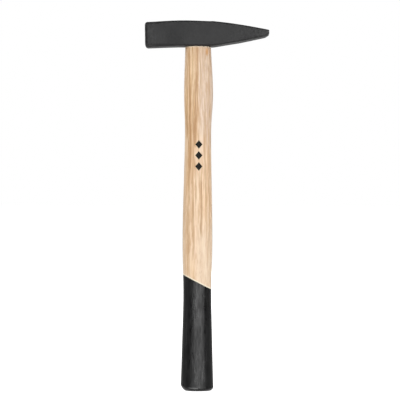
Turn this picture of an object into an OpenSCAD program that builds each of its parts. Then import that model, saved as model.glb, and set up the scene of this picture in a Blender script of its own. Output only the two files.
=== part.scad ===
// Light cross peen hammer of the German machinist's pattern: a forged head with a square face and a
// cross peen, wedged onto a swelled ash handle whose lower end is dipped in lacquer.
// The middle of the butt is the origin. +Z runs up the handle and +X points to the peen.

/* [Head] */
// Length of the head, from the striking face to the edge of the peen
head_l = 95; // [80:0.1:115]
// Distance from the striking face to the middle of the eye
face_to_eye = 40.7; // [34:0.1:50]
// Height of the head at the eye
head_h = 18.9; // [15.7:0.1:22.8]
// Height of the square striking end
face_h = 19.2; // [16:0.1:23]
// Width of the square striking end
face_w = 19; // [15.8:0.1:23]
// Width of the waist behind the striking end
waist_w = 18.2; // [15:0.1:22]
// Distance from the striking face to the waist
face_to_waist = 13; // [10:0.1:18]
// How far the middle of the face hangs below the middle of the eye block
face_drop = 0.95; // [0:0.1:2]
// Angle by which the face looks down towards the handle
face_lean = 1; // [0:0.1:3]
// Bevel around the striking face
face_bevel = 1.3; // [0.5:0.1:2.5]
// Rise of the top edge's crest above the top of the eye
crest_rise = 0.45; // [0:0.05:1.5]
// Distance from the eye back to the crest
eye_to_crest = 6.5; // [3:0.5:10]
// Chamfer along the head's long edges
edge_chamfer = 1; // [0.4:0.1:2]
// Chamfer along the top edges at the striking end
face_top_chamfer = 1.9; // [0.6:0.1:3]
// Chamfer along the bottom edges at the striking end
face_bottom_chamfer = 2.6; // [0.6:0.1:4]

/* [Peen] */
// Metal between the end of the eye and the start of the peen's flanks
eye_to_flank = 3.5; // [2:0.1:8]
// Thickness of the peen where its nose begins
nose_h = 6.3; // [4:0.1:9]
// Length of the nose
nose_l = 4.6; // [3:0.1:7]
// Thickness of the blunt edge
edge_h = 2.9; // [1.5:0.1:3.5]
// Width of the peen along its edge
peen_w = 18.5; // [15:0.1:22]
// Rise of the nose's middle above the middle of the eye block
nose_rise = 0.8; // [0:0.1:2]
// Rise of the blunt edge's middle above the middle of the eye block
edge_rise = 1.5; // [0:0.1:2.5]
// Height by which each flank bulges beyond a straight line
flank_bulge = 0.4; // [0:0.05:1]

/* [Eye] */
// Length of the oval eye, along the head
eye_l = 17; // [14:0.1:20.5]
// Width of the oval eye, across the head
eye_w = 10; // [8.3:0.1:12]
// Narrowing of the eye at half its depth, on each side
eye_waist = 0.3; // [0:0.05:0.8]
// Thickness of the cheek on each side of the eye
cheek_t = 4.75; // [3.9:0.05:6]

/* [Handle] */
// Length of the handle from its butt to the underside of the head
shaft_l = 263.4; // [215:0.1:320]
// Width of the butt
butt_w = 24.8; // [20:0.1:30]
// Depth of the butt
butt_d = 18.6; // [15:0.1:23]
// Place of the grip's middle, as a share of the shaft
grip_at = 0.16; // [0.12:0.01:0.2]
// Width of the grip
grip_w = 22.6; // [18:0.1:28]
// Depth of the grip
grip_d = 17.2; // [14:0.1:21]
// Place of the lower waist, as a share of the shaft
lower_waist_at = 0.28; // [0.24:0.01:0.34]
// Width of the lower waist
lower_waist_w = 21.2; // [17:0.1:26]
// Depth of the lower waist
lower_waist_d = 16.2; // [13:0.1:20]
// Place of the palm swell, as a share of the shaft
palm_at = 0.44; // [0.38:0.01:0.5]
// Width of the palm swell
palm_w = 22.9; // [18.5:0.1:28]
// Depth of the palm swell
palm_d = 18; // [14.5:0.1:22]
// Place of the upper waist, as a share of the shaft
upper_waist_at = 0.75; // [0.68:0.005:0.78]
// Width of the upper waist
upper_waist_w = 20.1; // [16.5:0.1:24]
// Depth of the upper waist
upper_waist_d = 16; // [13:0.1:19]
// Place of the upper swell, as a share of the shaft
upper_swell_at = 0.865; // [0.82:0.005:0.9]
// Width of the upper swell
upper_swell_w = 22.2; // [18:0.1:27]
// Depth of the upper swell
upper_swell_d = 17.2; // [14:0.1:21]
// Shift of the upper swell towards the peen
upper_swell_shift = 0.5; // [0:0.1:1.5]
// Ledge of the shoulder around the tenon, along the head
shoulder_ledge_x = 1.3; // [0.8:0.1:3]
// Ledge of the shoulder around the tenon, across the head
shoulder_ledge_y = 2.75; // [1:0.05:3.5]
// Chamfer of the shoulder's edge
shoulder_chamfer = 0.7; // [0.2:0.05:0.75]
// Height of the tenon's end above the head
tenon_proud = 0.5; // [0:0.1:2]

/* [Butt edge] */
// Width of the worn butt edge on the face side
worn_edge_w = 3.5; // [1:0.1:5]
// Height of the worn butt edge on the face side
worn_edge_h = 4.4; // [1:0.1:7]
// Width and height of the butt edge on the peen side
peen_side_edge = 2.3; // [0.5:0.1:4]
// Width and height of the butt edge at the front and the back
broad_side_edge = 2; // [0.5:0.1:4]

/* [Wedges] */
// Thickness of the wooden wedge at its head
wedge_t = 2.8; // [1.8:0.1:4]
// Thickness of the wooden wedge at its tip
wedge_tip_t = 0.6; // [0.3:0.1:1.2]
// Depth of the wooden wedge in the tenon
wedge_depth = 12.5; // [10.4:0.1:14]
// Height of the steel ring wedge
ring_h = 8; // [6:0.1:9.6]
// Wall of the ring wedge at its upper rim
ring_t = 1.3; // [0.8:0.1:1.8]
// Wall of the ring wedge at its cutting rim
ring_tip_t = 0.4; // [0.2:0.1:0.8]
// Wood between the ring wedge and the narrowest part of the eye
ring_margin = 0.7; // [0.5:0.1:1.5]

/* [Lacquer and print] */
// Thickness of the lacquer
coat_t = 0.2; // [0.1:0.05:0.6]
// Height of the lacquer's edge at the middle of the handle
dip_h = 83.1; // [60:0.1:110]
// Angle of the lacquer's edge, higher on the face side
dip_angle = 27; // [0:1:35]
// Height of the printed mark's middle
mark_z = 179.9; // [150:0.1:210]
// Place of the mark's middle across the handle
mark_x = 0.85; // [-2:0.05:2]
// Width of one lozenge of the mark
lozenge_w = 5.3; // [3:0.1:7]
// Height of one lozenge of the mark
lozenge_h = 6.6; // [4:0.1:8]
// Distance between the middles of two lozenges
lozenge_pitch = 8.4; // [8.2:0.1:12]
// Thickness of the ink
ink_t = 0.06; // [0.04:0.01:0.2]

/* [Fits] */
// Clearance between pieces that are driven or painted onto each other
fit = 0.02; // [0.01:0.01:0.05]

/* [Hidden] */

sides = 48;          // points around the handle and the eye
wood_power = 2.3;    // squareness of the handle's sections, 2 is an ellipse
eye_power = 2.4;     // squareness of the eye
edge_power = 1.35;   // roundness of the butt's edge, 1 is a chamfer and 2 a quarter round
edge_steps = [0, 0.12, 0.4, 1];   // levels of the butt's edge, as shares of its height
grip_steps = 11;     // rings between the butt's edge and the lacquer's edge
bare_steps = 28;     // rings between the lacquer's edge and the shoulder
eye_steps = 4;       // rings down the eye
neck_steps = 8;      // rings from the striking face to the cheeks
flank_steps = 6;     // rings along the peen's flanks
bulge_at = 0.55;     // place of the flanks' bulge, as a share of their length
nose_round = 0.2;    // how little the nose's lower side has risen halfway to the edge
overcut = 1;         // how far a cut runs past what it cuts
blunt = 0.15;        // half height left at a lozenge's side corners

cheek_w = eye_w + 2 * cheek_t;
mid_h = head_h / 2;
face_x = -face_to_eye;
face_low = mid_h - face_drop - face_h / 2;
face_high = face_low + face_h;
tip_x = head_l - face_to_eye;
edge_low = mid_h + edge_rise - edge_h / 2;
edge_high = edge_low + edge_h;
nose_x = tip_x - nose_l;
nose_low = mid_h + nose_rise - nose_h / 2;
nose_high = nose_low + nose_h;
flank_x = eye_l / 2 + eye_to_flank;
bulge_x = mix(flank_x, nose_x, bulge_at);
crest_x = -eye_l / 2 - eye_to_crest;
tenon_end = head_h + tenon_proud;
ring_r = eye_w / 2 - eye_waist - ring_margin;
neck_w = eye_l + 2 * shoulder_ledge_x;
neck_d = eye_w + 2 * shoulder_ledge_y;

// Outline of the head, each a list of [x, size], above the head's underside
LOW_EDGE = [[face_x, face_low], [crest_x, 0], [flank_x, 0],
    [bulge_x, mix(0, nose_low, bulge_at) - flank_bulge], [nose_x, nose_low]];
HIGH_EDGE = [[face_x, face_high], [crest_x, head_h + crest_rise], [eye_l / 2, head_h],
    [flank_x, head_h], [bulge_x, mix(head_h, nose_high, bulge_at) + flank_bulge],
    [nose_x, nose_high]];
HEAD_WIDTHS = [[face_x, face_w], [face_x + face_to_waist, waist_w], [-eye_l / 2, cheek_w],
    [eye_l / 2, cheek_w], [nose_x, peen_w]];
LOW_CUTS = [[face_x, face_bottom_chamfer], [crest_x, edge_chamfer]];
HIGH_CUTS = [[face_x, face_top_chamfer], [crest_x, edge_chamfer]];

// Width, depth and sideways place of the handle's sections, each a list of [share of the shaft, size]
WIDTHS = [[0, butt_w], [grip_at, grip_w], [lower_waist_at, lower_waist_w], [palm_at, palm_w],
    [upper_waist_at, upper_waist_w], [upper_swell_at, upper_swell_w], [1, neck_w]];
DEPTHS = [[0, butt_d], [grip_at, grip_d], [lower_waist_at, lower_waist_d], [palm_at, palm_d],
    [upper_waist_at, upper_waist_d], [upper_swell_at, upper_swell_d], [1, neck_d]];
SHIFTS = [[0, 0], [palm_at, 0], [upper_waist_at, upper_swell_shift / 3],
    [upper_swell_at, upper_swell_shift], [1, 0]];

// --- Curves ---

function mix(a, b, t) = a + (b - a) * t;
function slope_at(points, i) =
    let (a = points[max(i - 1, 0)], b = points[min(i + 1, len(points) - 1)])
    (b[1] - a[1]) / (b[0] - a[0]);
function stretch(points, x, i = 0) =
    i + 2 >= len(points) || x < points[i + 1][0] ? i : stretch(points, x, i + 1);

// Height at x of the smooth curve through a list of [x, y]
function smooth(points, x) =
    let (
        i = stretch(points, x),
        a = points[i],
        b = points[i + 1],
        w = b[0] - a[0],
        t = (x - a[0]) / w
    )
    a[1] * (1 + 2 * t) * pow(1 - t, 2) + w * slope_at(points, i) * t * pow(1 - t, 2)
        + b[1] * (3 - 2 * t) * t * t - w * slope_at(points, i + 1) * t * t * (1 - t);

// A signed power, for the corners of a squared ellipse
function corner(v, power) = sign(v) * pow(abs(v), 2 / power);
function turn(i) = 360 * i / sides;

// --- Handle ---

// Width and height of the butt's edge at an angle around the handle
function butt_edge(a, far_side) = mix(broad_side_edge, far_side, pow(cos(a), 2));
function edge_width(a) = butt_edge(a, cos(a) < 0 ? worn_edge_w : peen_side_edge);
function edge_height(a) = butt_edge(a, cos(a) < 0 ? worn_edge_h : peen_side_edge);
function edge_inset(a, step) = edge_width(a) * (1 - pow(1 - pow(1 - step, edge_power), 1 / edge_power));

// A point of the handle at an angle and a height, grown outwards by a distance
function wood_point(a, z, grow) =
    let (s = z / shaft_l)
    [
        smooth(SHIFTS, s) + (smooth(WIDTHS, s) / 2 + grow) * corner(cos(a), wood_power),
        (smooth(DEPTHS, s) / 2 + grow) * corner(sin(a), wood_power),
        z
    ];

// Height of the lacquer's edge at an angle around the handle
function dip_z(a) = dip_h - tan(dip_angle) * wood_point(a, dip_h, coat_t)[0];

// Rings of the dipped stretch, at a depth below the lacquer's outer surface
function dipped_rings(depth) = concat(
    [for (step = edge_steps) [for (i = [0 : sides - 1])
        wood_point(turn(i), mix(depth, edge_height(turn(i)), step),
            coat_t - depth - edge_inset(turn(i), step))]],
    [for (k = [1 : grip_steps]) [for (i = [0 : sides - 1])
        wood_point(turn(i), mix(edge_height(turn(i)), dip_z(turn(i)), k / grip_steps),
            coat_t - depth)]]
);

// Rings of the bare stretch, up to the shoulder's chamfer
function bare_rings() = [for (k = [1 : bare_steps]) [for (i = [0 : sides - 1])
    wood_point(turn(i), mix(dip_z(turn(i)), shaft_l - shoulder_chamfer, k / bare_steps), 0)]];

// One ring of the eye at a height above the head's underside, grown outwards by a distance
function eye_ring(z, grow) =
    let (t = z / head_h, pinch = eye_waist * 4 * t * (1 - t))
    [for (i = [0 : sides - 1]) [
        (eye_l / 2 - pinch + grow) * corner(cos(turn(i)), eye_power),
        (eye_w / 2 - pinch + grow) * corner(sin(turn(i)), eye_power),
        shaft_l + z
    ]];

function tenon_rings() = concat(
    [for (k = [0 : eye_steps]) eye_ring(k * head_h / eye_steps - (k == 0 ? fit : 0), -fit)],
    [eye_ring(tenon_end, -fit)]
);
function shoulder_ring() =
    [for (i = [0 : sides - 1]) wood_point(turn(i), shaft_l - fit, -shoulder_chamfer)];

// --- Head ---

// One ring of the head: an oblong section with its lower and upper edges chamfered. A lean moves the
// lower points towards the peen, so that the highest ones stay at x
function head_ring(x, low, high, width, low_cut, high_cut, lean = 0) =
    let (
        half = width / 2,
        outline = [
            [half, low + low_cut], [half, high - high_cut],
            [half - high_cut, high], [high_cut - half, high],
            [-half, high - high_cut], [-half, low + low_cut],
            [low_cut - half, low], [half - low_cut, low]
        ]
    )
    [for (p = outline) [x + (high - p[1]) * tan(lean), p[0], shaft_l + p[1]]];

// The ring of the head's outer shape at x
function body_ring(x, lean = 0) = head_ring(x, lookup(x, LOW_EDGE), smooth(HIGH_EDGE, x),
    smooth(HEAD_WIDTHS, x), lookup(x, LOW_CUTS), lookup(x, HIGH_CUTS), lean);

function head_rings() = concat(
    [
        head_ring(face_x, face_low + face_bevel, face_high - face_bevel, face_w - 2 * face_bevel,
            face_bottom_chamfer - face_bevel / 2, face_top_chamfer - face_bevel / 2, face_lean)
    ],
    [for (k = [0 : neck_steps]) body_ring(mix(face_x + face_bevel, -eye_l / 2, k / neck_steps),
        face_lean * (1 - k / neck_steps))],
    [for (x = [eye_l / 2, flank_x]) body_ring(x)],
    [for (k = [1 : flank_steps]) body_ring(mix(flank_x, nose_x, k / flank_steps))],
    [
        head_ring((nose_x + tip_x) / 2, mix(nose_low, edge_low, nose_round),
            (nose_high + edge_high) / 2, peen_w, edge_chamfer, edge_chamfer),
        head_ring(tip_x, edge_low, edge_high, peen_w - 2 * edge_chamfer,
            edge_chamfer / 2, edge_chamfer / 2)
    ]
);

// --- Print ---

// Front surface of the handle at x and z, grown outwards by a distance
function front_point(x, z, grow) =
    let (
        s = z / shaft_l,
        across = abs(x - smooth(SHIFTS, s)) / (smooth(WIDTHS, s) / 2)
    )
    [x, -(smooth(DEPTHS, s) / 2) * pow(1 - pow(across, wood_power), 1 / wood_power) - grow, z];

// Rings of one lozenge, each a thin slot of ink standing on the front surface
function lozenge_rings(z) = [for (u = [-1, -0.5, 0, 0.5, 1])
    let (x = mark_x + u * lozenge_w / 2, h = max((1 - abs(u)) * lozenge_h / 2, blunt))
    [
        front_point(x, z - h, fit), front_point(x, z + h, fit),
        front_point(x, z + h, fit + ink_t), front_point(x, z - h, fit + ink_t)
    ]];

// --- Solids ---

// A closed solid through a list of rings that have the same number of points
module loft(rings) {
    n = len(rings[0]);
    last = (len(rings) - 1) * n;
    walls = [for (k = [0 : len(rings) - 2], i = [0 : n - 1])
        let (a = k * n + i, b = k * n + (i + 1) % n)
        each [[a, a + n, b], [b, a + n, b + n]]];
    caps = [[for (i = [0 : n - 1]) i], [for (i = [n - 1 : -1 : 0]) last + i]];
    polyhedron([for (ring = rings) each ring], concat(walls, caps), convexity = 6);
}

// The wooden wedge's blade, which also cuts the kerf when it is grown by a clearance
module blade(grow, past) {
    slant = (wedge_t - wedge_tip_t) / 2 / wedge_depth;
    translate([0, 0, shaft_l + tenon_end])
        rotate([90, 0, 90])
        linear_extrude(eye_l + 2 * overcut, center = true)
        polygon([
            [-wedge_tip_t / 2 - grow, -wedge_depth - grow],
            [wedge_tip_t / 2 + grow, -wedge_depth - grow],
            [wedge_t / 2 + grow + slant * past, past],
            [-wedge_t / 2 - grow - slant * past, past]
        ]);
}

// The ring wedge, which also cuts its own groove when it is grown by a clearance
module ring(grow, past) {
    slant = (ring_t - ring_tip_t) / ring_h;
    translate([0, 0, shaft_l + tenon_end])
        rotate_extrude($fn = 64)
        polygon([
            [ring_r + grow, past],
            [ring_r + grow, -ring_h - grow],
            [ring_r - ring_tip_t - grow, -ring_h - grow],
            [ring_r - ring_t - grow - slant * past, past]
        ]);
}

module hammer_head() {
    color([0.16, 0.16, 0.17])
    difference() {
        loft(head_rings());
        loft([for (k = [-1 : eye_steps + 1]) eye_ring(k * head_h / eye_steps, 0)]);
    }
}

module handle() {
    color([0.86, 0.72, 0.55])
    difference() {
        loft(concat(dipped_rings(coat_t + fit), bare_rings(), [shoulder_ring()], tenon_rings()));
        blade(fit, overcut);
        ring(fit, overcut);
    }
}

module wooden_wedge() {
    color([0.72, 0.55, 0.38])
    difference() {
        intersection() {
            loft(tenon_rings());
            blade(0, overcut);
        }
        ring(fit, overcut);
    }
}

module ring_wedge() {
    color([0.7, 0.7, 0.72])
    ring(0, 0);
}

module grip_coating() {
    outside = dipped_rings(0);
    inside = dipped_rings(coat_t);
    color([0.08, 0.08, 0.08])
    loft(concat(outside, [for (k = [len(inside) - 1 : -1 : 0]) inside[k]]));
}

module printed_mark() {
    color([0.05, 0.05, 0.05])
    for (k = [-1 : 1]) loft(lozenge_rings(mark_z + k * lozenge_pitch));
}

hammer_head();
handle();
wooden_wedge();
ring_wedge();
grip_coating();
printed_mark();
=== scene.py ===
"""Looks of a light cross peen hammer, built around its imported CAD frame. Lengths are in millimetres,
apart from those of the lights and the floor, which are in Blender's metres."""
import math

import bmesh
import bpy
import numpy as np
from mathutils import Matrix, Vector, noise


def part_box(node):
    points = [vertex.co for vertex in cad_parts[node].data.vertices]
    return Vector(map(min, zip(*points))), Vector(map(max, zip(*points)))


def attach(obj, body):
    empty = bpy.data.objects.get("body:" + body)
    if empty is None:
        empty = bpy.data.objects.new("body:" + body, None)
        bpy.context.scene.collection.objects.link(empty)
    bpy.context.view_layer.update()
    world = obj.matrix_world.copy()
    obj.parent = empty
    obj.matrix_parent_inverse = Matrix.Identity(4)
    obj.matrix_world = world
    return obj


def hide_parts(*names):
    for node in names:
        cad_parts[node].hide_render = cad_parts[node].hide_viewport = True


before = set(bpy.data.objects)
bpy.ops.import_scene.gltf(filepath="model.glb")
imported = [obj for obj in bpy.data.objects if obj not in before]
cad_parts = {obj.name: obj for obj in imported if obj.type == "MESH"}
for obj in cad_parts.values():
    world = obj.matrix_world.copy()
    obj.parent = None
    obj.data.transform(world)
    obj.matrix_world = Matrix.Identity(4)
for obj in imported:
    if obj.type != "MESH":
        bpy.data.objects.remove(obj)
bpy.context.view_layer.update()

MM = 0.001


def cad_box(node):
    """Lowest and highest corner of a CAD node, in millimetres."""
    low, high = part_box(node)
    return np.array(low) / MM, np.array(high) / MM


HEAD_LOW, HEAD_HIGH = cad_box("hammer_head")
TENON_END = cad_box("handle")[1][2]

# ---------------------------------------------------------------- sizes, as in the CAD source

HEAD_H = 18.9
FACE_H, FACE_W = 19.2, 19.0
WAIST_W, FACE_TO_WAIST = 18.2, 13.0
FACE_DROP, FACE_LEAN = 0.95, math.radians(1.0)
CREST_RISE, EYE_TO_CREST = 0.45, 6.5
EDGE_CHAMFER, FACE_TOP_CHAMFER, FACE_BOTTOM_CHAMFER = 1.0, 1.9, 2.6
EYE_TO_FLANK = 3.5
NOSE_H, NOSE_L, NOSE_RISE, NOSE_ROUND = 6.3, 4.6, 0.8, 0.2
EDGE_H, EDGE_RISE = 2.9, 1.5
PEEN_W = 18.5
FLANK_BULGE, BULGE_AT = 0.4, 0.55
EYE_L, EYE_W, EYE_WAIST, EYE_POWER = 17.0, 10.0, 0.3, 2.4
TENON_PROUD = 0.5
SHOULDER_CHAMFER = 0.7
COAT_T = 0.2
DIP_H, DIP_ANGLE = 83.1, math.radians(27)
WORN_EDGE, PEEN_SIDE_EDGE, BROAD_SIDE_EDGE = (3.5, 4.4), (2.3, 2.3), (2.0, 2.0)
WOOD_POWER, EDGE_POWER = 2.3, 1.35
FIT = 0.02
WEDGE_T, WEDGE_TIP_T, WEDGE_DEPTH = 2.8, 0.6, 12.5
RING_R, RING_H, RING_T, RING_TIP_T = 4.0, 8.0, 1.3, 0.4
RIM_ROUND, FACE_CROWN, TIP_ROUND = (2.3, 2.1), 0.03, 0.5
MOUTH = 0.45    # how far the eye's mouths flare

SHAFT_L = TENON_END - TENON_PROUD - HEAD_H
CHEEK_W = HEAD_HIGH[1] - HEAD_LOW[1]
FACE_X, TIP_X = HEAD_LOW[0], HEAD_HIGH[0]

# Sections of the handle: share of the shaft, width, depth
SECTIONS = [
    (0.0, 24.8, 18.6),      # butt
    (0.16, 22.6, 17.2),     # grip
    (0.28, 21.2, 16.2),     # lower waist
    (0.44, 22.9, 18.0),     # palm swell
    (0.75, 20.1, 16.0),     # upper waist
    (0.865, 22.2, 17.2),    # upper swell
    (1.0, 19.6, 15.5),      # shoulder
]
WIDTHS = [(at, width) for at, width, depth in SECTIONS]
DEPTHS = [(at, depth) for at, width, depth in SECTIONS]
SHIFTS = [(0.0, 0.0), (0.44, 0.0), (0.75, 0.17), (0.865, 0.5), (1.0, 0.0)]

# ---------------------------------------------------------------- colours and light

# Ash: light, rosy, honey, dark and brown
ASH = [
    (0.81, 0.63, 0.445), (0.80, 0.60, 0.42), (0.77, 0.54, 0.315),
    (0.48, 0.275, 0.13), (0.33, 0.165, 0.065),
]
COOL, WARM_FILTER = (0.69, 0.57, 0.47), (1.0, 0.965, 0.89)
HONEY_LINE, STREAK = (0.60, 0.385, 0.22), (0.41, 0.225, 0.10)
WEDGE_TINT = (0.62, 0.56, 0.5)
# The first colour is freshly cut wood, and also serves as a partly painted highlight on the shoulder's
# chamfer.
FRESH_WOOD_AND_HIGHLIGHT, PALE = (0.86, 0.76, 0.60), (0.79, 0.645, 0.495)
KNOT, KNOT_BROWN = (6.8, -6.5, 259.0), (0.55, 0.27, 0.09)
YEAR_RING, GRAIN_RISE = 2.2, 0.03
HANDLE_PITH, WEDGE_PITH = (7, 16, 40), (30, 9, 0)
# Darker streaks of the handle: place across it, lower end, upper end, half width and strength
STREAKS = [
    (-1.9, 190, 240, 1.0, 0.8), (-5.8, 168, 232, 1.0, 0.8), (-8.1, 196, 252, 0.8, 0.6),
    (-6.5, 228, 264, 0.7, 0.7), (-4.0, 236, 266, 0.6, 0.6), (-0.3, 236, 266, 0.7, 0.75),
    (-3.6, 200, 226, 0.5, 0.6), (-3.0, 170, 204, 0.7, 0.5), (-7.2, 172, 196, 0.6, 0.5),
    (-0.2, 205, 232, 0.5, 0.35), (5.4, 165, 225, 0.8, 0.35), (8.8, 205, 264, 0.7, 0.4),
    (9.0, 110, 200, 0.8, 0.45), (7.4, 205, 236, 0.6, 0.35), (1.6, 205, 250, 0.6, 0.4),
    (3.4, 214, 262, 0.5, 0.35), (3.0, 118, 162, 1.0, 0.7), (-3.5, 104, 146, 1.2, 0.5),
    (-7.3, 104, 140, 0.9, 0.4), (-6.6, 144, 176, 0.8, 0.45), (-4.1, 150, 172, 0.7, 0.3),
    (-1.4, 142, 176, 0.8, 0.45), (1.4, 148, 176, 0.7, 0.4), (6.2, 140, 176, 0.8, 0.5),
]
# Lighter bands between them, given in the same way
BANDS = [
    (-7.2, 194, 250, 0.9, 0.45), (-3.9, 188, 240, 1.0, 0.4), (-8.9, 236, 264, 0.8, 0.3),
    (-5.2, 240, 264, 0.8, 0.4), (-2.2, 242, 264, 1.0, 0.35), (-5.1, 140, 176, 0.8, 0.4),
]
PAINT, PAINT_LIGHT, PAINT_DUSTY = (0.0095, 0.0095, 0.01), (0.0165, 0.0165, 0.017), (0.048, 0.048, 0.048)
SPECK = (0.3, 0.3, 0.3)
LACQUER, LACQUER_GREY = (0.0035, 0.0035, 0.0037), (0.007, 0.007, 0.0072)
# The lighter lacquer of the butt's ridge: scuffs, and partly a painted highlight.
LACQUER_SCUFF_AND_HIGHLIGHT = (0.14, 0.14, 0.14)
INK, INK_THIN = (0.010, 0.009, 0.008), (0.10, 0.07, 0.05)
STEEL, STEEL_DARK = (0.5, 0.49, 0.48), (0.32, 0.31, 0.3)
ROOM_LIGHT, SWEEP_LIGHT, TABLE_LIGHT, FLOOR_GLOW = 0.09, 0.5, 0.65, 0.9
# Soft boxes: azimuth and elevation in degrees, distance, width and height in metres, power in watts,
# and whether they make reflections
LIGHTS = {
    "key": (8.5, 9, 1.9, 1.6, 1.5, 38, True),
    "fill_left": (-72, 8, 2.2, 0.9, 1.4, 3.5, True),
    "wood_left": (-85, 4, 2.2, 0.9, 1.4, 12, False),
    "fill_right": (76, 8, 2.2, 0.9, 1.4, 2, True),
    "wood_right": (85, 4, 2.2, 0.9, 1.4, 8, False),
    "rear": (205, 22, 2.2, 1.6, 1.0, 26, True),
    "top": (180, 62, 2.0, 1.4, 1.0, 8, True),
}
# The height that the lights look at, half the floor's side and the camera's far limit, in metres
AIM_HEIGHT, FLOOR_REACH, FAR_AWAY = 0.14, 40, 100
LENS, CAMERA_AT, CAMERA_ROLL = 162, (1.85, -1380, 145.9), math.radians(0.176)

# ---------------------------------------------------------------- curves


def mix(a, b, t):
    """The value a share t of the way from a to b."""
    return a + (b - a) * t


def smooth(points, x):
    """Height at x of the smooth curve through points, as the CAD source draws it."""
    xs = np.array([p[0] for p in points], float)
    ys = np.array([p[1] for p in points], float)
    slopes = np.empty(len(xs))
    slopes[1:-1] = (ys[2:] - ys[:-2]) / (xs[2:] - xs[:-2])
    slopes[0] = (ys[1] - ys[0]) / (xs[1] - xs[0])
    slopes[-1] = (ys[-1] - ys[-2]) / (xs[-1] - xs[-2])
    x = np.asarray(x, float)
    i = np.clip(np.searchsorted(xs, x, side="right") - 1, 0, len(xs) - 2)
    w = xs[i + 1] - xs[i]
    t = (x - xs[i]) / w
    return (
        ys[i] * (1 + 2 * t) * (1 - t) ** 2
        + w * slopes[i] * t * (1 - t) ** 2
        + ys[i + 1] * (3 - 2 * t) * t**2
        - w * slopes[i + 1] * t**2 * (1 - t)
    )


def corner(v, power):
    """A signed power, for the corners of a squared ellipse."""
    return np.sign(v) * np.abs(v) ** (2 / power)


def ripple(points, size, seed):
    """Soft noise of about -1 to 1 at each point, with lumps of the given size."""
    offset = Vector((seed * 17.3, seed * 5.1, seed * 9.7))
    return np.array([noise.noise(Vector(p / size) + offset) for p in points]) * 1.6


# ---------------------------------------------------------------- meshes

# The angle at which an edge counts as sharp, and the shortest edge that a cut mesh keeps
SHARP, SMALLEST = math.radians(35), 0.003 * MM


def capped(rings, shares=(0.85, 0.6, 0.35, 0.12), crown=0.0, axis=2):
    """Rings that shrink onto the middle of the last one, with a slight crown along an axis."""
    last = rings[-1]
    middle = last.mean(axis=0)
    more = []
    for share in shares:
        ring = middle + (last - middle) * share
        ring[:, axis] += crown * (1 - share**2)
        more.append(ring)
    return rings + more


def mesh_piece(name, points, faces):
    """A smooth-shaded object with a mesh of its own, from points in millimetres."""
    mesh = bpy.data.meshes.new(name)
    mesh.from_pydata((np.array(points) * MM).tolist(), [], faces)
    work = bmesh.new()
    work.from_mesh(mesh)
    bmesh.ops.recalc_face_normals(work, faces=work.faces)
    work.to_mesh(mesh)
    work.free()
    mesh.shade_smooth()
    piece = bpy.data.objects.new(name, mesh)
    bpy.context.scene.collection.objects.link(piece)
    return piece


def loft(name, rings):
    """A closed mesh through rings that have the same number of points, in millimetres."""
    n = len(rings[0])
    count = len(rings)
    i = np.arange(n)
    walls = []
    for k in range(count - 1):
        a = k * n + i
        b = k * n + (i + 1) % n
        walls.append(np.stack([a, b, b + n, a + n], axis=1))
    faces = [tuple(f) for f in np.concatenate(walls).tolist()]
    faces.append(tuple(i[::-1].tolist()))
    faces.append(tuple(((count - 1) * n + i).tolist()))
    return mesh_piece(name, np.concatenate(rings), faces)


def shift_along_normals(piece, amount_of, low, high):
    """Moves each point of a mesh along its normal by amount_of(points), but never out of a box."""
    mesh = piece.data
    points = np.array([v.co for v in mesh.vertices]) / MM
    normals = np.array([v.normal for v in mesh.vertices])
    moved = np.clip(points + normals * amount_of(points)[:, None], low, high)
    mesh.vertices.foreach_set("co", (moved * MM).astype(np.float32).ravel())
    mesh.update()


def apply_modifiers(piece):
    """Bakes a piece's modifiers into its mesh."""
    graph = bpy.context.evaluated_depsgraph_get()
    done = bpy.data.meshes.new_from_object(piece.evaluated_get(graph))
    piece.modifiers.clear()
    piece.data = done


def clean(mesh):
    """Merges points closer together than the smallest length, and splits faces of over four corners."""
    work = bmesh.new()
    work.from_mesh(mesh)
    bmesh.ops.remove_doubles(work, verts=work.verts, dist=SMALLEST)
    bmesh.ops.dissolve_degenerate(work, edges=work.edges, dist=SMALLEST)
    bmesh.ops.triangulate(work, faces=[face for face in work.faces if len(face.verts) > 4])
    bmesh.ops.dissolve_degenerate(work, edges=work.edges, dist=SMALLEST)
    work.to_mesh(mesh)
    work.free()


def cut(piece, *cutters, keep=None):
    """Keeps what lies inside the keep piece, takes out the cutters, and removes all of those."""
    tools = [(cutter, "DIFFERENCE") for cutter in cutters]
    if keep:
        tools.insert(0, (keep, "INTERSECT"))
    for tool, operation in tools:
        step = piece.modifiers.new("cut", "BOOLEAN")
        step.operation = operation
        step.solver = "EXACT"
        step.object = tool
    apply_modifiers(piece)
    for tool, operation in tools:
        bpy.data.objects.remove(tool)
    clean(piece.data)
    piece.data.set_sharp_from_angle(angle=SHARP)


def finished(piece, material, node):
    """Gives a piece its material and its place in the table."""
    piece.data.materials.clear()
    piece.data.materials.append(material)
    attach(piece, "root")
    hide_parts(node)


# ---------------------------------------------------------------- handle

TURNS = np.linspace(0, 2 * np.pi, 144, endpoint=False)
PAST = 1.0    # how far a cutter stands past the tenon's end


def butt_edge(a):
    """Width and height of the butt's edge at each angle around the handle."""
    side = np.cos(a) ** 2
    sizes = []
    for k in (0, 1):
        far = np.where(np.cos(a) < 0, WORN_EDGE[k], PEEN_SIDE_EDGE[k])
        sizes.append(mix(BROAD_SIDE_EDGE[k], far, side))
    return sizes


def wood_ring(z, grow, a=TURNS):
    """Points of the handle at angles a and heights z, grown outwards by a distance."""
    z = np.broadcast_to(np.asarray(z, float), a.shape)
    s = z / SHAFT_L
    x = smooth(SHIFTS, s) + (smooth(WIDTHS, s) / 2 + grow) * corner(np.cos(a), WOOD_POWER)
    y = (smooth(DEPTHS, s) / 2 + grow) * corner(np.sin(a), WOOD_POWER)
    return np.stack([x, y, z], axis=1)


def dip_line():
    """Height of the lacquer's edge at each angle around the handle."""
    return DIP_H - math.tan(DIP_ANGLE) * wood_ring(DIP_H, COAT_T)[:, 0]


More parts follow.
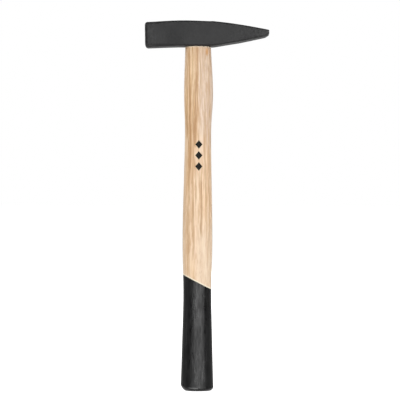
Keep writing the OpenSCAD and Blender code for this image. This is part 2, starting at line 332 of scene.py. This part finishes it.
def dipped_rings(depth, grip_steps):
    """Rings from the butt to the lacquer's edge, at a depth below the lacquer's surface."""
    width, height = butt_edge(TURNS)
    rings = []
    for step in 1 - np.cos(np.linspace(0, np.pi / 2, 9)):
        inset = width * (1 - (1 - (1 - step) ** EDGE_POWER) ** (1 / EDGE_POWER))
        rings.append(wood_ring(mix(depth, height, step), COAT_T - depth - inset))
    for step in np.linspace(0, 1, grip_steps + 1)[1:]:
        rings.append(wood_ring(mix(height, dip_line(), step), COAT_T - depth))
    return rings


def eye_ring(z, grow):
    """The oval of the eye at a height above the head's underside."""
    t = z / HEAD_H
    pinch = EYE_WAIST * 4 * t * (1 - t)
    x = (EYE_L / 2 - pinch + grow) * corner(np.cos(TURNS), EYE_POWER)
    y = (EYE_W / 2 - pinch + grow) * corner(np.sin(TURNS), EYE_POWER)
    return np.stack([x, y, np.full(len(TURNS), SHAFT_L + z)], axis=1)


def tenon_rings(steps):
    """Rings of the tenon from the shoulder to its end, whose edge is slightly broken."""
    broken = 0.15
    rings = [eye_ring(z, -FIT) for z in np.linspace(-FIT, HEAD_H, steps + 1)]
    rings.append(eye_ring(HEAD_H + TENON_PROUD - broken, -FIT))
    rings.append(eye_ring(HEAD_H + TENON_PROUD, -FIT - broken))
    return rings


def bare_rings(steps):
    """Rings from the lacquer's edge to the shoulder, whose outer edge is rounded by hand."""
    rings = []
    for step in np.linspace(0, 1, steps + 1)[1:]:
        rings.append(wood_ring(mix(dip_line(), SHAFT_L - SHOULDER_CHAMFER, step), 0))
    for bend in np.linspace(0, np.pi / 2, 7)[1:]:
        rings.append(wood_ring(
            SHAFT_L - FIT - SHOULDER_CHAMFER * (1 - math.sin(bend)),
            -SHOULDER_CHAMFER * (1 - math.cos(bend)),
        ))
    return rings


def blade(name, grow):
    """The wooden wedge's blade, grown by a distance, from its tip to past the tenon's end."""
    slant = (WEDGE_T - WEDGE_TIP_T) / 2 / WEDGE_DEPTH
    rings = []
    for z in (-WEDGE_DEPTH - grow, PAST):
        half = WEDGE_TIP_T / 2 + grow + slant * (z + WEDGE_DEPTH)
        rings.append(np.array([
            (x, y, TENON_END + z) for x, y in
            ((-EYE_L, -half), (EYE_L, -half), (EYE_L, half), (-EYE_L, half))
        ]))
    return loft(name, rings)


def ring_profile(grow, past):
    """Radius and height of the ring wedge's corners, from its inner lip round to the outer one."""
    slant = (RING_T - RING_TIP_T) / RING_H
    return [
        (RING_R - RING_T - grow - slant * past, past), (RING_R - RING_TIP_T - grow, -RING_H - grow),
        (RING_R + grow, -RING_H - grow), (RING_R + grow, past),
    ]


def turned(name, profile, sides=96):
    """A closed ring turned from a closed profile of radius and height below the tenon's end."""
    a = np.linspace(0, 2 * np.pi, sides, endpoint=False)
    n = len(profile)
    points = [(r * math.cos(t), r * math.sin(t), TENON_END + z) for t in a for r, z in profile]
    faces = []
    for k in range(sides):
        for i in range(n):
            here, ahead = k * n, (k + 1) % sides * n
            faces.append((here + i, here + (i + 1) % n, ahead + (i + 1) % n, ahead + i))
    return mesh_piece(name, points, faces)


def make_handle():
    """The handle, with the kerf and the groove that its two wedges sit in."""
    rings = dipped_rings(COAT_T + FIT, grip_steps=40) + bare_rings(steps=200) + tenon_rings(steps=13)
    handle = loft("ash_handle", capped(capped(rings)[::-1])[::-1])
    cut(handle, blade("kerf", FIT), turned("groove", ring_profile(FIT, PAST)))
    return handle


def make_wedge():
    """The split wedge: driven flush with the tenon, and cut through by the ring wedge."""
    wedge = loft("split_wedge", capped(capped(tenon_rings(steps=4))[::-1])[::-1])
    cut(wedge, turned("groove", ring_profile(FIT, PAST)), keep=blade("blade", 0))
    return wedge


def make_ring_wedge():
    """The ring wedge, its upper rim rounded and slightly peened by the hammer that drove it."""
    fall = 0.3
    inner, tip_in, tip_out, outer = ring_profile(0, 0)
    middle, half = (inner[0] + outer[0]) / 2, (outer[0] - inner[0]) / 2
    rim = []
    for bend in np.linspace(0, np.pi, 13):
        rim.append((middle + half * math.cos(bend), -fall * (1 - math.sin(bend) ** 0.5)))
    return turned("steel_ring_wedge", [rim[-1], tip_in, tip_out] + rim[:-1])


# ---------------------------------------------------------------- head


def section(x, low, high, width, low_cut, high_cut, lean):
    """One ring of the head: an oblong with chamfered long edges, every corner rounded."""
    fillet, most = 0.3, 0.45    # the rounding, and the largest share of a side that it takes
    flat_steps, chamfer_steps = 14, 3
    half = width / 2
    corners = [
        (half, low + low_cut), (half, high - high_cut),
        (half - high_cut, high), (high_cut - half, high),
        (-half, high - high_cut), (-half, low + low_cut),
        (low_cut - half, low), (half - low_cut, low),
    ]
    corners = [np.array(c) for c in corners]
    points = []
    for k, here in enumerate(corners):
        before, after = corners[k - 1], corners[(k + 1) % 8]
        back, ahead = before - here, after - here
        reach = min(fillet, np.linalg.norm(back) * most, np.linalg.norm(ahead) * most)
        start = here + back / np.linalg.norm(back) * reach
        end = here + ahead / np.linalg.norm(ahead) * reach
        for t in np.linspace(0, 1, 5):
            points.append((1 - t) ** 2 * start + 2 * t * (1 - t) * here + t * t * end)
        following = after - ahead / np.linalg.norm(ahead) * min(
            fillet, np.linalg.norm(ahead) * most,
            np.linalg.norm(corners[(k + 2) % 8] - after) * most,
        )
        steps = flat_steps if k % 2 == 0 else chamfer_steps
        for t in np.linspace(0, 1, steps + 1)[1:-1]:
            points.append(mix(end, following, t))
    points = np.array(points)
    return np.stack(
        [x + (high - points[:, 1]) * math.tan(lean), points[:, 0], SHAFT_L + points[:, 1]], axis=1
    )


MID_H = HEAD_H / 2
FACE_LOW = MID_H - FACE_DROP - FACE_H / 2
FACE_HIGH = FACE_LOW + FACE_H
EDGE_LOW = MID_H + EDGE_RISE - EDGE_H / 2
EDGE_HIGH = EDGE_LOW + EDGE_H
NOSE_X = TIP_X - NOSE_L
NOSE_LOW = MID_H + NOSE_RISE - NOSE_H / 2
NOSE_HIGH = NOSE_LOW + NOSE_H
FLANK_X = EYE_L / 2 + EYE_TO_FLANK
BULGE_X = mix(FLANK_X, NOSE_X, BULGE_AT)
CREST_X = -EYE_L / 2 - EYE_TO_CREST

LOW_EDGE = [(FACE_X, FACE_LOW), (CREST_X, 0.0), (FLANK_X, 0.0),
            (BULGE_X, NOSE_LOW * BULGE_AT - FLANK_BULGE), (NOSE_X, NOSE_LOW),
            (mix(NOSE_X, TIP_X, 0.5), mix(NOSE_LOW, EDGE_LOW, NOSE_ROUND)), (TIP_X, EDGE_LOW)]
HIGH_EDGE = [(FACE_X, FACE_HIGH), (CREST_X, HEAD_H + CREST_RISE), (EYE_L / 2, HEAD_H),
             (FLANK_X, HEAD_H), (BULGE_X, mix(HEAD_H, NOSE_HIGH, BULGE_AT) + FLANK_BULGE),
             (NOSE_X, NOSE_HIGH)]
HEAD_WIDTHS = [(FACE_X, FACE_W), (FACE_X + FACE_TO_WAIST, WAIST_W), (-EYE_L / 2, CHEEK_W),
               (EYE_L / 2, CHEEK_W), (NOSE_X, PEEN_W)]
LOW_CUTS = [(FACE_X, FACE_BOTTOM_CHAMFER), (CREST_X, EDGE_CHAMFER), (TIP_X, EDGE_CHAMFER)]
HIGH_CUTS = [(FACE_X, FACE_TOP_CHAMFER), (CREST_X, EDGE_CHAMFER), (TIP_X, EDGE_CHAMFER)]


def softened(points, x, reach=1.2):
    """A straight-edged line through points, its bends rounded over a short reach."""
    xs, ys = zip(*points)
    return np.mean([np.interp(x + d, xs, ys) for d in np.linspace(-reach, reach, 9)])


def body_section(x, inset=0.0, at=None):
    """The head's section at x, shrunk by an inset; at places it elsewhere, as the rims need."""
    lean = FACE_LEAN * np.clip((-EYE_L / 2 - x) / (-EYE_L / 2 - FACE_X), 0, 1)
    low, high = softened(LOW_EDGE, x), float(smooth(HIGH_EDGE, min(x, NOSE_X)))
    if x > NOSE_X:
        high = mix(NOSE_HIGH, EDGE_HIGH, (x - NOSE_X) / NOSE_L)
    low_cut, high_cut = softened(LOW_CUTS, x), softened(HIGH_CUTS, x)
    width = min(float(smooth(HEAD_WIDTHS, min(x, NOSE_X))), CHEEK_W)
    return section(
        x if at is None else at, low + inset, high - inset, width - 2 * inset,
        low_cut - inset * 0.5, high_cut - inset * 0.5, lean,
    )


def head_rings():
    """Rings of the head from the face, whose bevel forging and paint have rounded, to the peen's edge."""
    rings = []
    start = FACE_X + RIM_ROUND[0] + FACE_CROWN
    for bend in np.linspace(0, np.pi / 2, 12):
        rings.append(body_section(start, RIM_ROUND[1] * (1 - math.sin(bend)),
                                  start - RIM_ROUND[0] * math.cos(bend)))
    for x in np.linspace(start, NOSE_X, 130)[1:]:
        rings.append(body_section(x))
    for x in np.linspace(NOSE_X, TIP_X - TIP_ROUND, 12)[1:]:
        rings.append(body_section(x))
    for bend in np.linspace(0, np.pi / 2, 6)[1:]:
        at = TIP_X - TIP_ROUND * (1 - math.sin(bend))
        rings.append(body_section(TIP_X - TIP_ROUND, TIP_ROUND * (1 - math.cos(bend)), at))
    faced = capped(rings[::-1], crown=-FACE_CROWN, axis=0)[::-1]
    return capped(faced)


def forged(points):
    """Unevenness that the forge leaves under the paint: long shallow waves and a fine orange peel."""
    heights_and_sizes = [(0.06, 14.0), (0.02, 4.0), (0.008, 1.1)]
    return sum(height * ripple(points, size, k + 1) for k, (height, size) in enumerate(heights_and_sizes))


def make_head():
    """The head, with the eye cut through it. The eye's mouths are flared."""
    head = loft("forged_head", head_rings())
    shift_along_normals(head, forged, HEAD_LOW, HEAD_HIGH)
    above_top, outside = 0.3, 3
    levels = [(-outside, MOUTH), (0, MOUTH), (MOUTH, 0)]
    levels += [(z, 0) for z in np.linspace(MOUTH, HEAD_H - MOUTH, 7)[1:-1]]
    levels += [(HEAD_H - MOUTH, 0), (HEAD_H + above_top, MOUTH), (HEAD_H + outside, MOUTH)]
    cut(head, loft("eye_cut", [eye_ring(z, grow) for z, grow in levels]))
    return head


# ---------------------------------------------------------------- lacquer and print


def uneven(ring):
    """A ring of the lacquer with its runs and thin places, and the bead that the dip leaves at the butt."""
    thinning, bead_height = 0.03, 0.1
    long_runs = 0.03 * ripple(ring * np.array([1, 1, 0.12]), 3.2, 4)
    short_runs = 0.012 * ripple(ring * np.array([1, 1, 0.3]), 4.5, 5)
    share = np.clip(np.abs(ring[:, 0]) / (SECTIONS[0][1] / 2), 0, 1) ** 2
    edge = mix(BROAD_SIDE_EDGE[1], np.where(ring[:, 0] < 0, WORN_EDGE[1], PEEN_SIDE_EDGE[1]), share)
    bead = bead_height * np.exp(-((ring[:, 2] - edge - 0.5) / 0.45) ** 2)
    depth = np.minimum(long_runs + short_runs - thinning, 0) * np.clip(ring[:, 2] / 3, 0, 1) + bead
    reach = np.hypot(ring[:, 0], ring[:, 1])
    return ring * np.stack([1 + depth / reach, 1 + depth / reach, np.ones(len(ring))], axis=1)


def make_grip():
    """The lacquer: an uneven skin with a closed bottom, whose upper edge ends in a small bead."""
    rings = [uneven(ring) for ring in dipped_rings(0, grip_steps=220)]
    inside = dipped_rings(COAT_T, grip_steps=30)[::-1]
    rim = []
    for t in (0.3, 0.6):
        bead = np.array([0, 0, 0.06 * math.sin(math.pi * t)])
        rim.append(mix(rings[-1], inside[0], t) + bead)
    return loft("lacquered_grip", capped((rings + rim + inside)[::-1]))


# ---------------------------------------------------------------- materials


class Shader:
    """A material's node tree, with short calls for the nodes it is built of. Constants are set on the
    shader's own sockets, whose names are written with underscores for spaces."""

    def __init__(self, name, **constants):
        self.material = bpy.data.materials.new(name)
        self.material.use_nodes = True
        self.nodes = self.material.node_tree.nodes
        self.bsdf = self.nodes["Principled BSDF"]
        for socket, value in constants.items():
            self.bsdf.inputs[socket.replace("_", " ")].default_value = value
        coordinates = self.nodes.new("ShaderNodeTexCoord")
        self.place = self.vector("MULTIPLY", coordinates.outputs["Object"], (1 / MM,) * 3)
        split = self.nodes.new("ShaderNodeSeparateXYZ")
        self.put(self.place, split.inputs[0])
        self.x, self.y, self.z = split.outputs

    def put(self, value, socket):
        """Links an output to a socket, or sets a plain value on it."""
        if isinstance(value, bpy.types.NodeSocket):
            self.material.node_tree.links.new(value, socket)
        else:
            socket.default_value = value

    def vector(self, operation, a, b):
        """A vector operation on two vectors, or the length of the first one."""
        node = self.nodes.new("ShaderNodeVectorMath")
        node.operation = operation
        self.put(a, node.inputs[0])
        self.put(b, node.inputs[1])
        return node.outputs["Value" if operation == "LENGTH" else "Vector"]

    def math(self, operation, a, b=0.0, clamp=False):
        """An operation on two numbers, kept between 0 and 1 where it is clamped."""
        node = self.nodes.new("ShaderNodeMath")
        node.operation = operation
        node.use_clamp = clamp
        self.put(a, node.inputs[0])
        self.put(b, node.inputs[1])
        return node.outputs[0]

    def span(self, value, low, high, to_low=0.0, to_high=1.0):
        """Maps low to high onto to_low to to_high, smoothly."""
        node = self.nodes.new("ShaderNodeMapRange")
        node.interpolation_type = "SMOOTHSTEP"
        for socket, v in zip(node.inputs, (value, low, high, to_low, to_high)):
            self.put(v, socket)
        return node.outputs[0]

    def sum(self, *terms):
        """Adds up values, each a socket or a pair of a socket and its weight."""
        total = 0.0
        for term in terms:
            value = self.math("MULTIPLY", *term) if isinstance(term, tuple) else term
            total = self.math("ADD", total, value)
        return total

    def hill(self, value, middle, reach):
        """1 where value is at the middle, falling smoothly to 0 at the reach on both sides."""
        away = self.math("ABSOLUTE", self.math("SUBTRACT", value, middle))
        return self.span(away, 0, reach, 1, 0)

    def noise(self, per_mm, detail, shift):
        """Noise with the given number of lumps per millimetre along X, Y and Z, from 0 to 1.
        A shift of its own keeps it unlike the others."""
        scaled = self.vector("MULTIPLY", self.place, per_mm)
        moved = self.vector("ADD", scaled, (shift, shift * 0.7, shift * 1.3))
        node = self.nodes.new("ShaderNodeTexNoise")
        node.inputs["Scale"].default_value = 1.0
        node.inputs["Detail"].default_value = detail
        self.put(moved, node.inputs["Vector"])
        return node.outputs["Fac"]

    def mixed(self, factor, a, b, blend="MIX"):
        """Colour a where the factor is 0, blended with colour b where it is 1."""
        node = self.nodes.new("ShaderNodeMix")
        node.data_type = "RGBA"
        node.blend_type = blend
        self.put(factor, node.inputs["Factor"])
        for value, socket in ((a, node.inputs[6]), (b, node.inputs[7])):
            self.put((*value, 1.0) if isinstance(value, tuple) else value, socket)
        return node.outputs[2]

    def bump(self, height, distance, strength, normal=None):
        """Bump of a height from 0 to 1 that stands for a distance in millimetres, on top of a normal."""
        node = self.nodes.new("ShaderNodeBump")
        node.inputs["Strength"].default_value = strength
        node.inputs["Distance"].default_value = distance * MM
        self.put(height, node.inputs["Height"])
        if normal:
            self.put(normal, node.inputs["Normal"])
        return node.outputs["Normal"]

    def finish(self, **outputs):
        """Links values to the shader's sockets and gives the material."""
        for socket, value in outputs.items():
            self.put(value, self.bsdf.inputs[socket.replace("_", " ")])
        return self.material


def head_paint():
    """Matte dark grey paint on a forged surface, dusty behind the face and towards the peen, with bright
    specks at the peen's edge."""
    struck_at, struck_reach = FACE_X + 5.0, 5.5
    s = Shader("head_paint", Specular_IOR_Level=0.28)
    cloud = s.noise((0.07, 0.07, 0.07), 3, 3.1)
    mottle = s.noise((0.55, 0.8, 0.35), 4, 6.2)
    fine = s.noise((1.6, 1.6, 1.6), 4, 7.7)
    grit = s.noise((5, 5, 5), 2, 1.7)
    color = s.mixed(s.span(cloud, 0.3, 0.7), PAINT, PAINT_LIGHT)
    struck = s.hill(s.x, struck_at, struck_reach)
    worn = s.span(s.x, FLANK_X + 8, TIP_X - 2, 0, 1.1)
    dust = s.math("MULTIPLY", s.math("ADD", struck, worn), s.span(mottle, 0.35, 0.68))
    color = s.mixed(s.math("MULTIPLY", dust, 0.6), color, PAINT_DUSTY)
    at_edge = s.span(s.x, TIP_X - 5, TIP_X - 0.8, 0.1, 1)
    specks = s.math("MULTIPLY", s.span(fine, 0.62, 0.7), at_edge)
    color = s.mixed(s.math("MULTIPLY", specks, 0.7), color, SPECK)
    rough = s.sum(s.span(fine, 0.3, 0.7, 0.48, 0.64), (dust, 0.08))
    skin = s.bump(fine, 0.07, 0.55, s.bump(mottle, 0.16, 0.45))
    return s.finish(Base_Color=color, Roughness=rough, Normal=s.bump(grit, 0.02, 0.4, skin))


def grain_distance(s, pith):
    """Distance from the tree's pith in millimetres, bent as a growing tree bends it."""
    lean = s.vector("MULTIPLY", s.vector("SUBTRACT", s.place, pith), (1, 1, GRAIN_RISE))
    broad = s.math("SUBTRACT", s.noise((0.05, 0.05, 0.013), 2, 2.3), 0.5)
    near = s.math("SUBTRACT", s.noise((0.16, 0.16, 0.045), 2, 8.9), 0.5)
    small = s.math("SUBTRACT", s.noise((0.4, 0.4, 0.11), 2, 5.5), 0.5)
    return s.sum(s.vector("LENGTH", lean, (0, 0, 0)), (broad, 5.0), (near, 1.0), (small, 0.4))


def ash_wood(name, pith, tint, is_handle):
    """Ash: year rings around a pith with their rows of pores, and fine fibres. The handle has streaks,
    tones and marks of its own, among them painted shade towards the head and a partly painted highlight on
    its shoulder."""
    s = Shader(name, Roughness=0.5, Specular_IOR_Level=0.35)
    light, rosy, honey, dark, brown = (tuple(c * t for c, t in zip(shade, tint)) for shade in ASH)
    phase = s.math("FRACT", s.math("DIVIDE", grain_distance(s, pith), YEAR_RING))
    early = s.math("MULTIPLY", s.span(phase, 0.0, 0.08), s.span(phase, 0.14, 0.5, 1, 0))
    patch = s.noise((0.13, 0.13, 0.014), 2, 6.6)
    other = s.noise((0.2, 0.2, 0.02), 2, 1.2)
    fibre = s.noise((0.62, 0.62, 0.02), 3, 4.4)
    thread = s.noise((1.9, 1.9, 0.06), 3, 7.3)
    dash = s.noise((0.9, 0.9, 0.1), 4, 9.4)
    pores = s.noise((5.0, 5.0, 0.2), 2, 5.2)
    color = s.mixed(s.span(patch, 0.38, 0.62), light, rosy)
    color = s.mixed(s.span(other, 0.5, 0.7, 0, 0.7), color, honey)
    line, quiet = dark, 0.0
    if is_handle:
        color, line, quiet = handle_tones(s, color, dark)
    clear = s.math("MULTIPLY", s.span(other, 0.3, 0.65, 0.35, 0.75), s.math("SUBTRACT", 1.0, quiet))
    color = s.mixed(s.math("MULTIPLY", early, clear), color, line)
    loud = s.math("SUBTRACT", 1.0, s.math("MULTIPLY", quiet, 0.5))
    grains = [(fibre, 0.5, 0.56, 0.55), (thread, 0.5, 0.58, 0.42), (dash, 0.52, 0.6, 0.45)]
    for grain, low, high, strength in grains:
        share = s.math("MULTIPLY", s.span(grain, low, high, 0, strength), loud)
        color = s.mixed(share, color, line)
    color = s.mixed(s.span(dash, 0.34, 0.44, 0.5, 0), color, light)
    if is_handle:
        color = streaked(s, color, BANDS, light)
        color = streaked(s, color, STREAKS, STREAK)
        color = handle_marks_and_painted_light(s, color, brown)
    pits = s.math("MULTIPLY", s.span(pores, 0.57, 0.68), s.span(early, 0.1, 0.7, 0.15, 1))
    color = s.mixed(s.math("MULTIPLY", pits, 0.4), color, brown)
    relief = s.sum((fibre, 0.35), (early, -0.3), (pits, -0.7))
    return s.finish(Base_Color=color, Normal=s.bump(relief, 0.06, 0.6))


def streaked(s, color, streaks, tone):
    """Streaks of one tone along the handle, which waver and break as the grain does."""
    fade = 5
    wobble = s.math("SUBTRACT", s.noise((0.1, 0.1, 0.035), 2, 3.9), 0.5)
    ripples = s.math("SUBTRACT", s.noise((0.3, 0.3, 0.13), 2, 7.1), 0.5)
    across = s.sum(s.x, (wobble, 1.8), (ripples, 1.1))
    broken = s.span(s.noise((1.1, 1.1, 0.09), 3, 2.8), 0.3, 0.6, 0.6, 1)
    for place, low, high, width, strength in streaks:
        start, end = s.span(s.z, low - fade, low + fade), s.span(s.z, high - fade, high + fade, 1, 0)
        away = s.math("ABSOLUTE", s.math("SUBTRACT", across, place))
        body = s.math("MULTIPLY", s.span(away, width * 0.35, width, 1, 0), s.math("MULTIPLY", start, end))
        color = s.mixed(s.math("MULTIPLY", s.math("MULTIPLY", body, broken), strength), color, tone)
    return color


def handle_tones(s, color, dark):
    """The handle's broad tones, the colour of its dark lines, and how quiet the grain is at each place.
    It is warm with dark lines at its upper left, cool and smooth at its upper right, has honey lines
    below, and is pale towards the lacquer on its right."""
    ragged = s.noise((0.9, 0.9, 0.03), 4, 8.1)
    right = s.span(s.sum(s.x, (ragged, 7.0)), 2.0, 5.5)
    upper = s.span(s.sum(s.z, (ragged, 60.0)), SHAFT_L - 65, SHAFT_L - 30)
    upper_right = s.math("MULTIPLY", right, upper)
    color = s.mixed(s.math("MULTIPLY", upper_right, 0.75), color, COOL)
    upper_left = s.math("MULTIPLY", s.math("SUBTRACT", 1.0, right), upper)
    color = s.mixed(upper_left, color, s.mixed(1.0, color, WARM_FILTER, "MULTIPLY"))
    low = s.span(s.z, DIP_H + 65, DIP_H + 30, 0, 0.8)
    low_right = s.math("MULTIPLY", low, s.span(s.x, -2.5, 2.5, 0.15, 1))
    color = s.mixed(low_right, color, PALE)
    line = s.mixed(upper, HONEY_LINE, dark)
    quiet = s.math("MAXIMUM", s.math("MULTIPLY", low_right, 1.3), upper_right, clamp=True)
    return color, line, s.math("MULTIPLY", quiet, 0.75)


def handle_marks_and_painted_light(s, color, brown):
    """What belongs to places of the handle: a pin knot and freshly cut edges, with painted shade that
    darkens the wood towards the head and a partly painted highlight on the shoulder's chamfer.
    """
    # Painted shade: the wood darkens towards the head, a little from 60 mm below it and more in its last 12
    # mm, standing in for the head's shadow.
    color = s.mixed(s.span(s.z, SHAFT_L - 60, SHAFT_L - 25, 0, 0.07), color, brown)
    color = s.mixed(s.span(s.z, SHAFT_L - 12, SHAFT_L - 1, 0, 0.22), color, brown)
    off = s.vector("MULTIPLY", s.vector("SUBTRACT", s.place, KNOT), (1, 0.35, 0.35))
    knot = s.span(s.vector("LENGTH", off, (0, 0, 0)), 0.2, 1.7, 0.85, 0)
    color = s.mixed(knot, color, KNOT_BROWN)
    # The shoulder's chamfer is lighter: partly freshly cut wood, partly a painted highlight where the
    # chamfer catches the light.
    chamfer = SHAFT_L - SHOULDER_CHAMFER
    shoulder = s.span(s.z, chamfer - 0.5, chamfer, 0, 0.5)
    tenon = s.span(s.z, SHAFT_L - 0.1, SHAFT_L + 0.1, 1, 0)
    color = s.mixed(s.math("MULTIPLY", shoulder, tenon), color, FRESH_WOOD_AND_HIGHLIGHT)
    above_dip = s.math("SUBTRACT", s.sum(s.z, (s.x, math.tan(DIP_ANGLE))), DIP_H)
    return s.mixed(s.hill(above_dip, 0.3, 1.3), color, FRESH_WOOD_AND_HIGHLIGHT)


def black_lacquer():
    """Black dipped lacquer, uneven in its gloss, that lets the grain show through a little. Its edge at
    the butt is lighter along a ridge: scuffs where the hammer has been stood and handled, and at the front
    partly a painted highlight of that ridge."""
    s = Shader("black_lacquer", Specular_IOR_Level=0.33)
    grain = s.noise((1.1, 1.1, 0.04), 3, 2.2)
    cloud = s.noise((0.3, 0.3, 0.09), 3, 9.1)
    blot = s.noise((0.7, 0.7, 0.13), 3, 6.3)
    peel = s.noise((1.1, 1.1, 0.8), 2, 4.6)
    color = s.mixed(s.span(cloud, 0.35, 0.7), LACQUER, LACQUER_GREY)
    share = s.math("POWER", s.math("MULTIPLY", s.x, 2 / SECTIONS[0][1]), 2.0)
    ridge = s.sum(BROAD_SIDE_EDGE[1] + 0.2, (share, s.span(s.x, -1, 1, 2.4, 0.3)))
    on_ridge = s.hill(s.math("SUBTRACT", s.z, ridge), 0, 0.75)
    # Lighter along the butt's ridge: scuffs, and at the front middle partly a painted highlight of the
    # ridge.
    scuff_and_highlight = s.math("MULTIPLY", on_ridge, s.span(blot, 0.35, 0.6))
    handled_and_front_lit = s.math("MAXIMUM", s.hill(s.x, -2, 7), s.span(s.y, -2, 6))
    color = s.mixed(s.math("MULTIPLY", scuff_and_highlight, handled_and_front_lit), color, LACQUER_SCUFF_AND_HIGHLIGHT)
    rough = s.sum(s.span(blot, 0.32, 0.66, 0.23, 0.43), s.span(grain, 0.4, 0.7, 0, 0.1))
    waves = s.bump(blot, 0.2, 0.45, s.bump(cloud, 0.4, 0.4, s.bump(peel, 0.08, 0.5)))
    return s.finish(Base_Color=color, Roughness=rough, Normal=s.bump(grain, 0.12, 0.6, waves))


def ink():
    """Printed ink, a little thin where the grain is open."""
    s = Shader("ink", Roughness=0.75, Specular_IOR_Level=0.2)
    thin = s.span(s.noise((1.5, 1.5, 0.12), 3, 9.4), 0.6, 0.75, 0, 0.25)
    return s.finish(Base_Color=s.mixed(thin, INK, INK_THIN))


def steel():
    """Bare steel, scratched by the hammer that drove it."""
    s = Shader("ring_steel", Metallic=1.0)
    scratch = s.noise((1.5, 1.5, 1.5), 4, 1.1)
    color = s.mixed(s.span(scratch, 0.4, 0.7), STEEL, STEEL_DARK)
    rough = s.span(scratch, 0.3, 0.7, 0.28, 0.5)
    return s.finish(Base_Color=color, Roughness=rough, Normal=s.bump(scratch, 0.03, 0.5))


def floor_white():
    """A pale floor with a slight glow of its own, so that it photographs white."""
    white, pale = (1, 1, 1, 1), (0.8, 0.8, 0.8, 1)
    s = Shader("floor_white", Base_Color=pale, Roughness=0.9, Specular_IOR_Level=0.0,
               Emission_Color=white, Emission_Strength=FLOOR_GLOW)
    return s.material


# ---------------------------------------------------------------- studio


def make_camera():
    """A long lens level with the middle of the handle."""
    data = bpy.data.cameras.new("camera")
    data.lens = LENS
    data.clip_end = FAR_AWAY
    camera = bpy.data.objects.new("camera", data)
    bpy.context.scene.collection.objects.link(camera)
    place = Matrix.Translation(Vector(CAMERA_AT) * MM)
    level = Matrix.Rotation(math.pi / 2, 4, "X")
    camera.matrix_world = place @ level @ Matrix.Rotation(CAMERA_ROLL, 4, "Z")
    bpy.context.scene.camera = camera


def make_light(name, azimuth, elevation, distance, width, height, power, reflected):
    """A soft box that looks at the middle of the hammer. Azimuth 0 is in front, 90 on the peen's side."""
    data = bpy.data.lights.new(name, "AREA")
    data.shape = "RECTANGLE"
    data.size, data.size_y = width, height
    data.energy = power
    light = bpy.data.objects.new(name, data)
    bpy.context.scene.collection.objects.link(light)
    a, e = math.radians(azimuth), math.radians(elevation)
    away = Vector((math.sin(a) * math.cos(e), -math.cos(a) * math.cos(e), math.sin(e)))
    light.location = Vector((0, 0, AIM_HEIGHT)) + away * distance
    light.rotation_euler = away.to_track_quat("Z", "Y").to_euler()
    light.visible_camera = False
    light.visible_glossy = reflected


def make_world():
    """The studio's own light: a bright sweep behind the hammer, a white table under it and a dim room
    in front of it. The camera sees plain white all round."""
    world = bpy.data.worlds.new("studio")
    bpy.context.scene.world = world
    world.use_nodes = True
    nodes, links = world.node_tree.nodes, world.node_tree.links

    def span(value, *numbers):
        node = nodes.new("ShaderNodeMapRange")
        node.interpolation_type = "SMOOTHSTEP"
        links.new(value, node.inputs[0])
        for socket, number in zip(node.inputs[1:5], numbers):
            socket.default_value = number
        return node.outputs[0]

    def math_node(operation, a, b):
        node = nodes.new("ShaderNodeMath")
        node.operation = operation
        links.new(a, node.inputs[0])
        links.new(b, node.inputs[1])
        return node.outputs[0]

    direction = nodes.new("ShaderNodeTexCoord")
    split = nodes.new("ShaderNodeSeparateXYZ")
    links.new(direction.outputs["Generated"], split.inputs[0])
    sweep = math_node("MULTIPLY", span(split.outputs["Y"], -0.15, 0.5, 0, SWEEP_LIGHT),
                      span(split.outputs["Z"], 0.05, 0.6, 1, 0.15))
    table = span(split.outputs["Z"], -0.6, -0.2, TABLE_LIGHT + ROOM_LIGHT, ROOM_LIGHT)
    seen = span(nodes.new("ShaderNodeLightPath").outputs["Is Camera Ray"], 0, 1, 0, 1)
    total = math_node("MAXIMUM", math_node("ADD", sweep, table), seen)
    nodes["Background"].inputs["Color"].default_value = (1, 1, 1, 1)
    links.new(total, nodes["Background"].inputs["Strength"])


def make_floor():
    """The floor. Its light on the hammer comes from the world's table instead."""
    corners = np.array([(-1, -1, 0), (1, -1, 0), (1, 1, 0), (-1, 1, 0)]) * FLOOR_REACH
    floor = mesh_piece("floor", corners / MM, [(0, 1, 2, 3)])
    floor.data.materials.append(floor_white())
    floor.visible_diffuse = False
    floor.visible_glossy = False
    floor.visible_shadow = False


def make_studio():
    """The world, the floor and the soft boxes, shown without a film look."""
    bpy.context.scene.view_settings.view_transform = "Standard"
    make_world()
    make_floor()
    for name, settings in LIGHTS.items():
        make_light(name, *settings)


# ---------------------------------------------------------------- assembly

make_camera()
make_studio()
handle_wood = ash_wood("ash", HANDLE_PITH, (1, 1, 1), is_handle=True)
wedge_wood = ash_wood("wedge_wood", WEDGE_PITH, WEDGE_TINT, is_handle=False)
finished(make_handle(), handle_wood, "handle")
finished(make_head(), head_paint(), "hammer_head")
finished(make_grip(), black_lacquer(), "grip_coating")
finished(make_wedge(), wedge_wood, "wooden_wedge")
finished(make_ring_wedge(), steel(), "ring_wedge")
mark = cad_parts["printed_mark"].data
mark.materials.clear()
mark.materials.append(ink())
